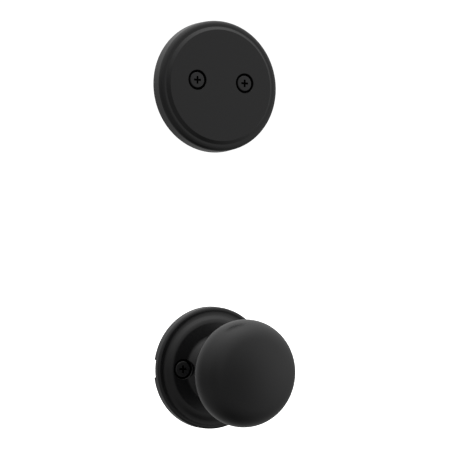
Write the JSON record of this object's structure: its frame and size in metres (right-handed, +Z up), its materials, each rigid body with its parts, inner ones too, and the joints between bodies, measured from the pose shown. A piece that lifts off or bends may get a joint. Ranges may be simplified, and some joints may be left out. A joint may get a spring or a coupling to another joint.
{
  "type": "door knob",
  "caption": "Round inside door knob that turns in a stepped rose with exposed cross-recess screws, and the blank round cover for the bolt hole above it.",
  "frame": {"origin": "centre of the rose's back rim, on the door face and on the knob's axis", "axes": "+Y into the door along the knob's axis, +Z up towards the blank cover, +X to the right as seen from the room"},
  "size_m": [0.0702, 0.0751, 0.2175],
  "materials": {
    "black_paint": "matte black paint",
    "knob_paint": "satin black paint",
    "cover_paint": "matte black paint",
    "black_screw": "black oxide",
    "zinc_plated_steel": "zinc plated sheet",
    "shank_steel": "turned steel",
    "spring_steel": "oil tempered",
    "rivet_steel": "plain steel",
    "cast_zinc": "as cast",
    "bush_brass": "turned",
    "acetal": "moulded, black"
  },
  "bodies": {
    "trim": {"rose": "black_paint", "rose_liner": "zinc_plated_steel", "bearing_bush": "bush_brass", "thrust_washer": "acetal", "spring_cage": "zinc_plated_steel", "cage_cap": "zinc_plated_steel", "cage_rivets": "rivet_steel", "return_spring": "spring_steel", "rose_screws": "black_screw", "bolt_cover": "cover_paint", "cover_liner": "zinc_plated_steel", "cover_screws": "black_screw"},
    "knob": {"knob_front": "knob_paint", "knob_back": "knob_paint", "knob_core": "cast_zinc", "knob_shank": "shank_steel", "shank_pin": "rivet_steel", "spindle_socket": "cast_zinc", "spring_driver": "shank_steel", "slip_washer": "acetal", "retaining_ring": "spring_steel"}
  },
  "joints": [
    {"name": "knob_turn", "type": "hinge", "parent": "trim", "child": "knob", "pos_m": [0, 0, 0], "axis": [0, 1, 0], "range_deg": [-60, 60], "stiffness_Nm_per_rad": 0.6, "deforming": ["return_spring"]}
  ]
}
